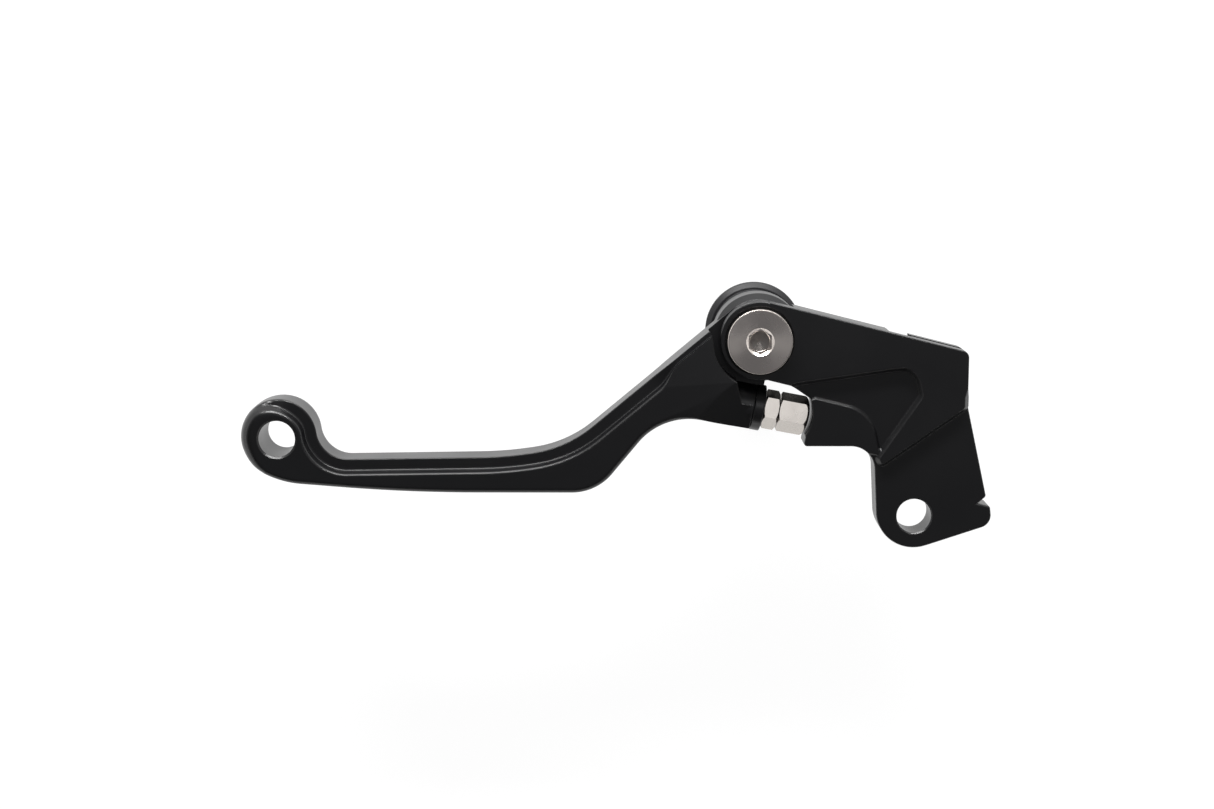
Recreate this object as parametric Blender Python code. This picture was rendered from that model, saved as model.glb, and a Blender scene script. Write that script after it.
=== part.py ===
"""Folding clutch lever for an off-road motorcycle, modelled in millimetres and scaled to metres.

Frame: the origin is the centre of the perch bore, halfway through the lever.
+X points inboard, towards the cable. +Y points forward, away from the handlebar.
+Z points up, along the perch bore and the pivot bolt.
"""

import math

import bmesh
import bpy
from mathutils import Matrix, Vector

MM = 0.001
GAP = 0.25  # clearance between pieces that touch on the real lever

# Pivot of the blade on the base
PIVOT = (-36.3, 41.0)
EAR_R = 9.0
EAR_BOTTOM = 1.7
HUB_R = 10.3
HUB_TOP = 0.6
HUB_BOTTOM = -8.0
HUB_CHAMFER = (1.4, 2.2)  # in, down
EAR_POCKET_R = 10.6
HUB_POCKET_R = 10.9
HUB_BORE_R = 5.9

# Base
PERCH_BORE_R = 4.0
PERCH_BOSS = (0.0, 1.3)
PERCH_BOSS_R = 8.8
PLATE_Z = 4.0
BLOCK_Z = 4.6
BAND_Z = 5.5
TOP_LEFT = (-33.95, 49.85)  # the top edge leaves the ear here
TOP_RIGHT = (11.6, 38.45)
CABLE_SLOT_W = 2.8
CABLE_SLOT_DEPTH = 9.0
NIPPLE = (-4.6, 37.2)
NIPPLE_R = 4.1
NIPPLE_ROOF = 2.2
NIPPLE_MOUTH = (-6.4, -1.2)  # from, to along X

# Blade
BALL = (-147.0, 18.4)
BALL_R = 8.85
BALL_HOLE_R = 4.2
BLADE_Z = 7.0
TOP_Y = 13.3
NECK_R = 7.2
COVE_W = 3.2
KNUCKLE_FOOT = (-42.1, 47.95)
TOP_BENDS = [(-80.5, 16.0, 28), (-95.0, 13.85, 86)]  # x, y, fillet radius
BOTTOM_BENDS = [(-146.2, 8.05, 22), (-116.8, 5.75, 400), (-73.6, 5.75, 12), (-58.2, 24.4, 15)]
SLOPES = [  # ridge line's start and angle, fall of the face beside it, both in degrees
    ((-61.3, 21.8), 23.4, 9.0),
    ((-61.3, 17.9), 35.1, 14.0),
    ((-65.0, 30.0), 4.0, -4.0),
]
SLOPE_REACH = 40
SLOPE_WIDTH = 24
RECESS = [(-3.6, 6.2), (-1.2, 0.8), (5, 0.8), (5, 9), (-3, 9)]  # along and across the adjuster's axis
KNUCKLE_CUT = [(-46.9, 41.0), (-40.0, 46.0), (-44.0, 50.0), (-48.6, 44.0), (-47.4, 42.6)]

# Adjuster: its axis passes ADJ_ARM from the pivot, and u is measured along it from that nearest point
ADJ_ANGLE = math.radians(-10.65)
ADJ_ARM = 15.8
COLLAR_U = (1.6, 4.15)
COLLAR_R = 5.35
BARREL_R = 5.3
BARREL_U = -6.5
HEX_AF = 8.0
HEX_TURN = 17
NUT_LEN = 3.2
SCREW_R = 2.5
SCREW_LEN = 16.0
HEAD_TIP_U = 15.1
HEAD_DOME = 1.7
WALL_U = 15.45
WALL_R = 10.0

# Pivot bolt and what is on it, from the top down
BOLT_HEAD_R = 7.45
BOLT_HEAD_T = 2.8
COUNTERBORE = (7.85, 0.8)  # radius, depth
BOLT_SHANK_R = 4.0
BOLT_THREAD_R = 3.0
BOLT_SOCKET_AF = 5.2
BOLT_SOCKET_DEPTH = 1.9
BUSH_R = (4.3, 5.65)
FRONT_WASHER = (6.9, 0.55)  # outer radius, thickness
REAR_WASHER = (5.65, 0.75)
NUT_WASHER = (6.0, 0.6)
SEAL_R = (7.7, 0.4)  # ring radius, cord radius
SPRING_R = 7.4
SPRING_WIRE_R = 0.75
SPRING_TURNS = 2.75
SPRING_PITCH = 1.62
CAP_TOP = -8.3
CAP_SHOULDER = -15.2
CAP_BOTTOM = -17.8
CAP_FLOOR = -14.4
CAP_CUP_R = (8.5, 9.7)
CAP_FLANGE_R = 11.5
CAP_CHAMFER = 1.2
NUT_RECESS = (6.1, 2.2)  # radius, depth
PIVOT_NUT_AF = 10.0
PIVOT_NUT_T = 4.2
NUT_RING = (4.4, 1.3)  # outer radius, thickness

SEGMENTS = 40  # around a turned piece
FINE_SEGMENTS = 24  # around a small one
ARC_STEP = math.radians(12)
LONGEST = 8.0  # mm between outline points
SHARP_ANGLE = math.radians(35)


# ---------------------------------------------------------------- outlines


def arc(centre, radius, start, end, step=ARC_STEP):
    """Points on an arc, angles in degrees, both ends included."""
    start, end = math.radians(start), math.radians(end)
    count = max(2, math.ceil(abs(end - start) / step))
    angles = [start + (end - start) * i / count for i in range(count + 1)]
    return [(centre[0] + radius * math.cos(a), centre[1] + radius * math.sin(a)) for a in angles]


def fillet(before, corner, after, radius):
    """The arc of that radius tangent to both lines that meet at the corner."""
    corner = Vector(corner)
    back = (Vector(before) - corner).normalized()
    on = (Vector(after) - corner).normalized()
    half = back.angle(on) / 2
    centre = corner + (back + on).normalized() * radius / math.sin(half)
    first = corner + back * radius / math.tan(half) - centre
    last = corner + on * radius / math.tan(half) - centre
    turn = first.angle_signed(last)
    count = max(2, math.ceil(abs(turn) / ARC_STEP), math.ceil(abs(turn) * radius / LONGEST))
    return [tuple(centre + Matrix.Rotation(-turn * i / count, 2) @ first) for i in range(count + 1)]


def rounded(corners):
    """An open path through corners given as (x, y) or (x, y, fillet radius)."""
    path = [tuple(corners[0][:2])]
    for before, corner, after in zip(corners, corners[1:], corners[2:]):
        if len(corner) > 2:
            path += fillet(before[:2], corner[:2], after[:2], corner[2])
        else:
            path.append(tuple(corner))
    return path + [tuple(corners[-1][:2])]


def closed(*paths):
    """Joins paths into one closed outline and drops repeated points."""
    outline = []
    for point in [p for path in paths for p in path]:
        if not outline or math.dist(point[:2], outline[-1][:2]) > 0.02:
            outline.append(point)
    if math.dist(outline[0][:2], outline[-1][:2]) < 0.02:
        outline.pop()
    return outline


def on_adjuster(u, v=0.0):
    """The point u along the adjuster's axis and v across it, towards the pivot."""
    along = Vector((math.cos(ADJ_ANGLE), math.sin(ADJ_ANGLE)))
    across = Vector((-along.y, along.x))
    return tuple(Vector(PIVOT) + across * (v - ADJ_ARM) + along * u)


# ---------------------------------------------------------------- solids


def add(name, mesh, material=None):
    obj = bpy.data.objects.new(name, mesh)
    bpy.context.scene.collection.objects.link(obj)
    if material:
        mesh.materials.append(material)
        mesh.shade_smooth()
        mesh.set_sharp_from_angle(angle=SHARP_ANGLE)
    return obj


def mesh_of(name, points, faces):
    """A mesh from points in millimetres, its faces turned outward."""
    mesh = bpy.data.meshes.new(name)
    mesh.from_pydata([Vector(p) * MM for p in points], [], faces)
    shape = bmesh.new()
    shape.from_mesh(mesh)
    bmesh.ops.recalc_face_normals(shape, faces=shape.faces)
    shape.to_mesh(mesh)
    shape.free()
    return mesh


def loops_mesh(name, loops):
    """Closed loops of equal length joined by quads, with a flat cap on the first and the last."""
    count = len(loops[0])
    points = [p for loop in loops for p in loop]
    faces = [tuple(range(count)), tuple(range(len(points) - count, len(points)))]
    for row in range(len(loops) - 1):
        for i in range(count):
            a, b = row * count + i, row * count + (i + 1) % count
            faces.append((a, b, b + count, a + count))
    return mesh_of(name, points, faces)


def offset(outline, distances):
    """The outline moved inward, each point by its own distance. The outline runs anticlockwise."""
    moved = []
    for i, point in enumerate(outline):
        here = Vector(point[:2])
        to = (here - Vector(outline[i - 1][:2])).normalized()
        on = (Vector(outline[(i + 1) % len(outline)][:2]) - here).normalized()
        inward = Vector((-to.y - on.y, to.x + on.x)) / (1 + to.dot(on))
        moved.append(here + inward * distances[i])
    return moved


def prism(name, outline, low, high, chamfer=0.0):
    """The outline pulled from low to high in Z, with both its rims chamfered."""
    loops = [[(x, y, z) for x, y in outline] for z in (low + chamfer, high - chamfer)]
    if chamfer:
        inner = offset(outline, [chamfer] * len(outline))
        loops = [[(x, y, low) for x, y in inner], *loops, [(x, y, high) for x, y in inner]]
    return loops_mesh(name, loops)


def turned(name, profile, segments=SEGMENTS):
    """A closed profile of (radius, z) turned about Z, the axis left open."""
    points, faces = [], []
    count = len(profile)
    for i in range(segments):
        angle = 2 * math.pi * i / segments
        points += [(r * math.cos(angle), r * math.sin(angle), z) for r, z in profile]
        for j in range(count):
            a, b = i * count + j, i * count + (j + 1) % count
            c, d = (b + count) % (segments * count), (a + count) % (segments * count)
            faces.append((a, b, c, d))
    return mesh_of(name, points, faces)


def rod(name, profile, segments=SEGMENTS):
    """A solid turned piece: profile of (radius, z) from the bottom up, closed by flat ends."""
    angles = [2 * math.pi * i / segments for i in range(segments)]
    loops = [[(r * math.cos(a), r * math.sin(a), z) for a in angles] for r, z in profile]
    return loops_mesh(name, loops)


def hexagon(name, across_flats, low, high, turn=0.0):
    radius = across_flats / math.sqrt(3)
    angles = [math.radians(60 * i + turn) for i in range(6)]
    loops = [[(radius * math.cos(a), radius * math.sin(a), z) for a in angles] for z in (low, high)]
    return loops_mesh(name, loops)


def at_pivot(obj):
    obj.location = (PIVOT[0] * MM, PIVOT[1] * MM, 0)
    return obj


def on_adjuster_axis(obj):
    """Lays a piece modelled about Z along the adjuster's axis, its Z the axis's u."""
    obj.matrix_world = Matrix.Translation(Vector((*on_adjuster(0), 0)) * MM) @ adjuster_turn()
    return obj


def adjuster_turn():
    return Matrix.Rotation(ADJ_ANGLE, 4, "Z") @ Matrix.Rotation(math.pi / 2, 4, "Y")


def tool(mesh_name, mesh, place=None):
    """A helper solid for a Boolean, left out of the model."""
    obj = add(mesh_name, mesh)
    obj.hide_render = True
    obj.display_type = "WIRE"
    return place(obj) if place else obj


def combine(obj, other, operation="DIFFERENCE"):
    step = obj.modifiers.new(other.name, "BOOLEAN")
    step.operation = operation
    step.solver = "EXACT"
    step.object = other


def material(name, colour, metallic, roughness):
    made = bpy.data.materials.new(name)
    made.use_nodes = True
    shader = made.node_tree.nodes["Principled BSDF"]
    shader.inputs["Base Color"].default_value = (*colour, 1)
    shader.inputs["Metallic"].default_value = metallic
    shader.inputs["Roughness"].default_value = roughness
    return made


# ---------------------------------------------------------------- lever base


def lower_edge():
    """From the bottom of the ear to the top of the notch that the adjuster bears on."""
    return rounded([(-35.1, 32.28), (-29.4, 30.9, 12), (-24.3, 27.4)])


def ear_arc():
    return arc(PIVOT, EAR_R, 75.8, 278)


def notch_wall():
    """The concave wall under the adjuster's head."""
    centre = on_adjuster(WALL_U - WALL_R)
    tilt = math.degrees(ADJ_ANGLE)
    return arc(centre, WALL_R, tilt + 23, tilt - 23)


def plate_outline():
    """The whole base seen from above."""
    return closed(
        ear_arc(),
        lower_edge(),
        notch_wall(),
        rounded([(-25.5, 18.4), (-25.9, 16.4, 0.7), (-9.6, 16.4, 5.6), (-8.75, 0.5)]),
        arc(PERCH_BOSS, PERCH_BOSS_R, 186, 288.4),
        rounded([(3.0, -7.0), (18.1, -1.95, 3), (17.6, 2.3, 0.4), (14.7, 3.0), (16.5, 4.6, 0.3), (16.2, 6.4)]),
        rounded([(11.6, 26.8), (*TOP_RIGHT, 1.7), TOP_LEFT]),
    )


def band_outline():
    """The raised band along the top and the tongue that runs down from it."""
    return closed(
        ear_arc(),
        rounded([(-35.1, 32.28), (-29.4, 30.7), (-0.9, 34.9, 4.5), (0.7, 28.4, 1.5), (-9.3, 13.7, 0.5)]),
        rounded([(-8.1, 11.3, 0.5), (11.6, 25.2, 1.5), (*TOP_RIGHT, 1.7), TOP_LEFT]),
    )


def block_outline():
    """The thicker block behind the notch."""
    return closed(
        rounded([(-24.3, 27.9), (-24.3, 27.4)]),
        notch_wall(),
        rounded([(-25.5, 18.4), (-25.9, 16.4, 0.7), (-9.6, 16.4, 5.6), (-9.5, 10.9)]),
        rounded([(-9.1, 14.5), (-10.4, 24.6, 9), (-24.3, 27.9)]),
    )


def cable_slot():
    """Open at the top and at the inboard edge."""
    slope = Vector(TOP_RIGHT) - Vector(TOP_LEFT)
    down = Vector((slope.y, -slope.x)).normalized() * CABLE_SLOT_DEPTH
    start = Vector(TOP_LEFT).lerp(Vector(TOP_RIGHT), 0.62)
    end = Vector(TOP_RIGHT) + slope * 0.1
    outline = [start + down, end + down, end - down, start - down]
    return prism("cable_slot", [tuple(p) for p in outline], -CABLE_SLOT_W / 2, CABLE_SLOT_W / 2)


def nipple_pocket():
    """The seat of the cable's end, entered from the top and from below."""
    left, right = NIPPLE_MOUTH
    outline = closed(
        [(left, 48.0), (left, NIPPLE[1] + 2)],
        arc(NIPPLE, NIPPLE_R, 155, 385),
        [(right, NIPPLE[1] + 2), (right, 48.0)],
    )
    return prism("nipple_pocket", outline, -8.0, NIPPLE_ROOF)


def lever_base(black):
    base = add("lever_base", prism("lever_base", plate_outline(), -PLATE_Z, PLATE_Z, 0.4), black)
    combine(base, tool("band", prism("band", band_outline(), -BAND_Z, BAND_Z, 0.5)), "UNION")
    combine(base, tool("block", prism("block", block_outline(), -BLOCK_Z, BLOCK_Z, 0.4)), "UNION")
    radius, depth = COUNTERBORE
    cuts = [
        tool("hub_pocket", rod("hub_pocket", [(HUB_POCKET_R, -12), (HUB_POCKET_R, EAR_BOTTOM)]), at_pivot),
        tool("bolt_bore", rod("bolt_bore", [(BUSH_R[0], -3), (BUSH_R[0], 9)]), at_pivot),
        tool("counterbore", rod("counterbore", [(radius, BAND_Z - depth), (radius, 9)]), at_pivot),
        tool("perch_bore", rod("perch_bore", bore_profile(PERCH_BORE_R, PLATE_Z, 0.3))),
        tool("cable_slot", cable_slot()),
        tool("nipple_pocket", nipple_pocket()),
    ]
    for cut in cuts:
        combine(base, cut)
    return base


def bore_profile(radius, half_thickness, chamfer):
    """A through hole that flares at both faces."""
    wide = radius + chamfer + 1
    return [
        (wide, -half_thickness - 1),
        (radius, -half_thickness + chamfer),
        (radius, half_thickness - chamfer),
        (wide, half_thickness + 1),
    ]


# ---------------------------------------------------------------- blade

# Sections from the outer edge inward: distance in, half thickness
COVE = [(0, 3.7), (0.3, 4.2), (1.5, 4.4), (2.4, 5.0), (2.95, 6.0), (COVE_W, BLADE_Z), (3.5, BLADE_Z)]
ROUND = [(0, 2.6), (0.3, 4.3), (1.0, 5.6), (1.8, 6.3), (2.5, 6.7), (3.2, BLADE_Z), (3.5, BLADE_Z)]
EDGE = [(0, 5.4), (0.1, 6.0), (0.3, 6.4), (0.55, 6.7), (0.9, 6.9), (1.3, BLADE_Z), (1.6, BLADE_Z)]
CRISP = [(0, 6.4), (0.06, 6.6), (0.12, 6.75), (0.2, 6.85), (0.3, 6.95), (0.4, BLADE_Z), (0.6, BLADE_Z)]


def mix(one, other, share):
    share = min(max(share, 0.0), 1.0)
    share = share * share * (3 - 2 * share)
    return [(a + (c - a) * share, b + (d - b) * share) for (a, b), (c, d) in zip(one, other)]


def ball_section(angle):
    """Cove on the neck's side of the ball, round on its outer side, the blade's lower edge below."""
    if angle < 160:
        return mix(COVE, ROUND, (angle - 50) / 90)
    return mix(ROUND, EDGE, (angle - 200) / 60)


def top_section(x):
    return mix(COVE, CRISP, (x + 61.0) / 5.5)


def blade_outline():
    """Anticlockwise points (x, y, section)."""
    neck_y = TOP_Y + NECK_R
    neck_x = BALL[0] + math.sqrt((BALL_R + NECK_R) ** 2 - (neck_y - BALL[1]) ** 2)
    lean = math.degrees(math.atan2(neck_y - BALL[1], neck_x - BALL[0]))
    ball = arc(BALL, BALL_R, lean, 243)
    span = [lean + (243 - lean) * i / (len(ball) - 1) for i in range(len(ball))]
    corner = on_adjuster(COLLAR_U[0], -4.7)
    bottom = rounded([ball[-1], *BOTTOM_BENDS, corner])
    end_face = [on_adjuster(u, v) for u, v in ((COLLAR_U[0], 4.2), (3.4, 4.6), (3.4, 7.0))]
    hidden = [*end_face, (-38.6, 35.0), (-39.5, 41.0)]
    top = rounded([KNUCKLE_FOOT, *TOP_BENDS, (neck_x, TOP_Y)])
    neck = arc((neck_x, neck_y), NECK_R, 270, 180 + lean)
    return closed(
        [(x, y, ball_section(a)) for (x, y), a in zip(ball, span)],
        [(x, y, EDGE) for x, y in subdivided(bottom)],
        [(x, y, CRISP) for x, y in hidden],
        [(x, y, top_section(x)) for x, y in subdivided(top)],
        [(x, y, COVE) for x, y in neck],
    )


def subdivided(path, longest=LONGEST):
    """The path with its long stretches cut into equal shorter ones."""
    points = [path[0]]
    for start, end in zip(path, path[1:]):
        count = max(1, math.ceil(math.dist(start, end) / longest))
        points += [tuple(Vector(start).lerp(Vector(end), i / count)) for i in range(1, count + 1)]
    return points


def blade_mesh():
    outline = blade_outline()
    upper = []
    for row in range(len(COVE)):
        inner = offset(outline, [section[row][0] for _, _, section in outline])
        upper.append([(p.x, p.y, section[row][1]) for p, (_, _, section) in zip(inner, outline)])
    lower = [[(x, y, -z) for x, y, z in loop] for loop in reversed(upper)]
    return loops_mesh("lever_blade", lower + upper)


def slope(side, start, angle, fall):
    """A slab above (side 1) or below (side -1) the blade whose face falls away from a ridge line.

    The line starts at start and runs at angle; the face falls to its right, or to its left if fall is negative.
    """
    far = -SLOPE_WIDTH if fall > 0 else SLOPE_WIDTH
    outline = [(0, min(far, 0)), (SLOPE_REACH, min(far, 0)), (SLOPE_REACH, max(far, 0)), (0, max(far, 0))]
    mesh = prism("slope", outline, *((0, 8) if side > 0 else (-8, 0)))
    place = Matrix.Translation(Vector((*start, BLADE_Z * side)) * MM)
    place @= Matrix.Rotation(math.radians(angle), 4, "Z")
    mesh.transform(place @ Matrix.Rotation(math.radians(fall * side), 4, "X"))
    return mesh


def lever_blade(black):
    blade = add("lever_blade", blade_mesh(), black)
    inset, drop = HUB_CHAMFER
    hub = [(HUB_R - 0.5, HUB_BOTTOM), (HUB_R, HUB_BOTTOM + 0.5), (HUB_R, HUB_TOP - drop), (HUB_R - inset, HUB_TOP)]
    for number, face in enumerate(SLOPES):
        combine(blade, tool(f"slope_above_{number}", slope(1, *face)))
        combine(blade, tool(f"slope_below_{number}", slope(-1, *face)))
    recess = prism("recess", [on_adjuster(u, v) for u, v in RECESS], HUB_TOP, BLADE_Z + 5)
    combine(blade, tool("recess", recess))
    barrel = rod("barrel", [(BARREL_R, BARREL_U), (BARREL_R, COLLAR_U[0])])
    combine(blade, tool("barrel", barrel, on_adjuster_axis), "UNION")
    collar = rod("collar", [(COLLAR_R, -3), (COLLAR_R, COLLAR_U[1] - 0.4), (COLLAR_R - 0.4, COLLAR_U[1])])
    combine(blade, tool("collar", collar, on_adjuster_axis), "UNION")
    combine(blade, tool("hub", rod("hub", hub), at_pivot), "UNION")
    bore = [(SCREW_R + GAP, -14), (SCREW_R + GAP, COLLAR_U[1] + 2)]
    cuts = [
        tool("ear_pocket", rod("ear_pocket", [(EAR_POCKET_R, HUB_TOP), (EAR_POCKET_R, 12)]), at_pivot),
        tool("knuckle_cut", prism("knuckle_cut", KNUCKLE_CUT, HUB_TOP, BLADE_Z + 5)),
        tool("hub_bore", rod("hub_bore", [(HUB_BORE_R, -12), (HUB_BORE_R, 4)]), at_pivot),
        tool("adjuster_bore", rod("adjuster_bore", bore, FINE_SEGMENTS), on_adjuster_axis),
        leg_hole("upper_leg_hole", (-SPRING_R, 0), -12, HUB_BOTTOM + 2.2),
        tool("ball_hole", rod("ball_hole", bore_profile(BALL_HOLE_R, BLADE_Z, 0.4))),
    ]
    cuts[-1].location = Vector((*BALL, 0)) * MM
    for cut in cuts:
        combine(blade, cut)
    return blade


# ---------------------------------------------------------------- pivot


def leg_hole(name, place, low, high):
    """A hole for a leg of the spring, placed from the pivot."""
    hole = tool(name, rod(name, [(SPRING_WIRE_R + 0.3, low), (SPRING_WIRE_R + 0.3, high)], 12), at_pivot)
    hole.location += Vector((*place, 0)) * MM
    return hole


def pivot_bolt(steel):
    under_head = BAND_Z - COUNTERBORE[1] + GAP
    top = under_head + BOLT_HEAD_T
    shank_end = CAP_FLOOR + GAP
    profile = [
        (BOLT_THREAD_R - 0.5, CAP_BOTTOM - 4.8),
        (BOLT_THREAD_R, CAP_BOTTOM - 4.3),
        (BOLT_THREAD_R, shank_end),
        (BOLT_SHANK_R, shank_end),
        (BOLT_SHANK_R, under_head),
        (BOLT_HEAD_R, under_head),
        (BOLT_HEAD_R, top - 0.5),
        (BOLT_HEAD_R - 0.4, top),
    ]
    bolt = at_pivot(add("pivot_bolt", rod("pivot_bolt", profile), steel))
    socket = hexagon("socket", BOLT_SOCKET_AF, top - BOLT_SOCKET_DEPTH, top + 2, 30)
    combine(bolt, tool("socket", socket, at_pivot))
    countersink = rod("countersink", [(BOLT_SOCKET_AF / 2 + 0.1, top - 0.55), (BOLT_SOCKET_AF / 2 + 1.15, top + 0.5)])
    combine(bolt, tool("countersink", countersink, at_pivot))
    return bolt


def ring(name, inner, outer, low, high, made_of):
    edge = 0.12
    profile = [
        (inner, low), (outer - edge, low), (outer, low + edge),
        (outer, high - edge), (outer - edge, high), (inner, high),
    ]
    return at_pivot(add(name, turned(name, profile), made_of))


def dust_seal(name, height, rubber):
    """An O-ring lying at that height round a thrust washer."""
    ring_r, cord_r = SEAL_R
    angles = [2 * math.pi * i / 8 for i in range(8)]
    profile = [(ring_r + cord_r * math.cos(a), height + cord_r * math.sin(a)) for a in angles]
    return at_pivot(add(name, turned(name, profile), rubber))


def spring_path():
    """A coil with one leg standing in the hub and the other in the cap's floor."""
    low = CAP_FLOOR + SPRING_WIRE_R + GAP
    high = low + SPRING_TURNS * SPRING_PITCH
    count = round(SPRING_TURNS * 18)
    coil = []
    for i in range(count + 1):
        angle = math.pi + 2 * math.pi * SPRING_TURNS * (i / count - 1)
        height = low + (high - low) * i / count
        coil.append((SPRING_R * math.cos(angle), SPRING_R * math.sin(angle), height))
    x, y, _ = coil[0]
    return [(x, y, low - 2.4), (x, y, low - 0.5), *coil, (-SPRING_R, 0, high + 0.6), (-SPRING_R, 0, high + 2.2)]


def return_spring(steel):
    curve = bpy.data.curves.new("return_spring", "CURVE")
    curve.dimensions = "3D"
    curve.bevel_depth = SPRING_WIRE_R * MM
    curve.bevel_resolution = 1
    curve.use_fill_caps = True
    path = spring_path()
    spline = curve.splines.new("POLY")
    spline.points.add(len(path) - 1)
    for point, place in zip(spline.points, path):
        point.co = (*(Vector(place) * MM), 1)
    curve.materials.append(steel)
    spring = bpy.data.objects.new("return_spring", curve)
    bpy.context.scene.collection.objects.link(spring)
    return at_pivot(spring)


def spring_cap(black):
    inner, outer = CAP_CUP_R
    recess_r, recess_depth = NUT_RECESS
    flange = CAP_FLANGE_R
    profile = [
        (BOLT_THREAD_R + GAP, CAP_BOTTOM + recess_depth),
        (recess_r, CAP_BOTTOM + recess_depth),
        (recess_r, CAP_BOTTOM),
        (flange - 0.5, CAP_BOTTOM),
        (flange, CAP_BOTTOM + 0.5),
        (flange, CAP_SHOULDER - CAP_CHAMFER),
        (flange - CAP_CHAMFER, CAP_SHOULDER),
        (outer + 0.4, CAP_SHOULDER),
        (outer, CAP_SHOULDER + 0.5),
        (outer, CAP_TOP),
        (inner, CAP_TOP),
        (inner, CAP_FLOOR),
        (BOLT_THREAD_R + GAP, CAP_FLOOR),
    ]
    cap = at_pivot(add("spring_cap", turned("spring_cap", profile), black))
    foot = spring_path()[0]
    combine(cap, leg_hole("lower_leg_hole", foot[:2], foot[2] - GAP, CAP_FLOOR + 1))
    return cap


def nut_washer_bottom():
    return CAP_BOTTOM + NUT_RECESS[1] - GAP - NUT_WASHER[1]


def pivot_nut(steel):
    top = nut_washer_bottom() - GAP
    nut = at_pivot(add("pivot_nut", hexagon("pivot_nut", PIVOT_NUT_AF, top - PIVOT_NUT_T, top), steel))
    corner = PIVOT_NUT_AF / math.sqrt(3)
    low = top - PIVOT_NUT_T
    cone = rod("nut_cone", [(corner - 0.9, low - 0.01), (corner, low + 0.5), (corner + 1, top + 1)])
    combine(nut, tool("nut_cone", cone, at_pivot), "INTERSECT")
    bore = rod("nut_bore", [(BOLT_THREAD_R + GAP, low - 2), (BOLT_THREAD_R + GAP, top + 2)])
    combine(nut, tool("nut_bore", bore, at_pivot))
    return nut


# ---------------------------------------------------------------- adjuster


def adjuster_lock_nut(steel):
    low = COLLAR_U[1] + GAP
    high = low + NUT_LEN
    corner = HEX_AF / math.sqrt(3)
    nut = on_adjuster_axis(add("adjuster_lock_nut", hexagon("adjuster_lock_nut", HEX_AF, low, high, HEX_TURN), steel))
    cone = [(corner - 0.5, low - 0.01), (corner, low + 0.3), (corner, high - 0.3), (corner - 0.5, high + 0.01)]
    combine(nut, tool("lock_nut_cone", rod("lock_nut_cone", cone), on_adjuster_axis), "INTERSECT")
    bore = rod("lock_nut_bore", [(SCREW_R + GAP, low - 2), (SCREW_R + GAP, high + 2)], FINE_SEGMENTS)
    combine(nut, tool("lock_nut_bore", bore, on_adjuster_axis))
    return nut


def adjuster_bolt(steel):
    low = COLLAR_U[1] + NUT_LEN + 2 * GAP
    shoulder = HEAD_TIP_U - HEAD_DOME
    corner = HEX_AF / math.sqrt(3)
    bolt = on_adjuster_axis(add("adjuster_bolt", hexagon("adjuster_bolt", HEX_AF, low, HEAD_TIP_U, HEX_TURN), steel))
    slopes = [math.radians(12 * i) for i in range(7)]
    dome = [(corner * math.cos(a), shoulder + HEAD_DOME * math.sin(a)) for a in slopes]
    cone = [(corner - 0.5, low - 0.01), (corner, low + 0.3)] + dome + [(0.6, HEAD_TIP_U)]
    combine(bolt, tool("head_dome", rod("head_dome", cone), on_adjuster_axis), "INTERSECT")
    screw = [(SCREW_R - 0.5, low - SCREW_LEN), (SCREW_R, low - SCREW_LEN + 0.5), (SCREW_R, low + 1)]
    combine(bolt, tool("screw", rod("screw", screw, FINE_SEGMENTS), on_adjuster_axis), "UNION")
    return bolt


# ---------------------------------------------------------------- assembly


def main():
    for obj in list(bpy.data.objects):
        bpy.data.objects.remove(obj)
    black = material("black_anodised", (0.008, 0.008, 0.010), 0.6, 0.38)
    cap_black = material("cap_black", (0.010, 0.010, 0.011), 0.3, 0.45)
    stainless = material("stainless", (0.46, 0.43, 0.40), 1.0, 0.28)
    bronze = material("bronze", (0.42, 0.27, 0.12), 1.0, 0.40)
    spring_steel = material("spring_steel", (0.16, 0.16, 0.17), 1.0, 0.35)
    rubber = material("seal_rubber", (0.012, 0.012, 0.012), 0.0, 0.6)
    nylon = material("nylon", (0.10, 0.22, 0.55), 0.0, 0.45)

    lever_base(black)
    lever_blade(black)
    pivot_bolt(stainless)
    ring("pivot_bush", *BUSH_R, HUB_BOTTOM + GAP, HUB_TOP - 0.1, bronze)
    radius, thickness = FRONT_WASHER
    ring("front_thrust_washer", BUSH_R[0], radius, HUB_TOP + GAP, HUB_TOP + GAP + thickness, bronze)
    radius, thickness = REAR_WASHER
    ring("rear_thrust_washer", BUSH_R[0], radius, HUB_BOTTOM - thickness, HUB_BOTTOM, bronze)
    dust_seal("front_dust_seal", (HUB_TOP + EAR_BOTTOM) / 2, rubber)
    return_spring(spring_steel)
    spring_cap(cap_black)
    low = nut_washer_bottom()
    radius, thickness = NUT_WASHER
    ring("nut_washer", BOLT_THREAD_R + GAP, radius, low, low + thickness, stainless)
    pivot_nut(stainless)
    radius, thickness = NUT_RING
    high = low - PIVOT_NUT_T - 2 * GAP
    ring("nut_locking_ring", BOLT_THREAD_R + GAP, radius, high - thickness, high, nylon)
    adjuster_bolt(stainless)
    adjuster_lock_nut(stainless)


main()
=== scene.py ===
"""Folding clutch lever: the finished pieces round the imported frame.

Lengths are in millimetres and scaled to metres. The origin is the centre of the perch bore, halfway
through the lever. +X points inboard, +Y forward, away from the handlebar, and +Z up along the pivots.
"""

import math

import bmesh
import bpy
from mathutils import Matrix, Vector

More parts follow.
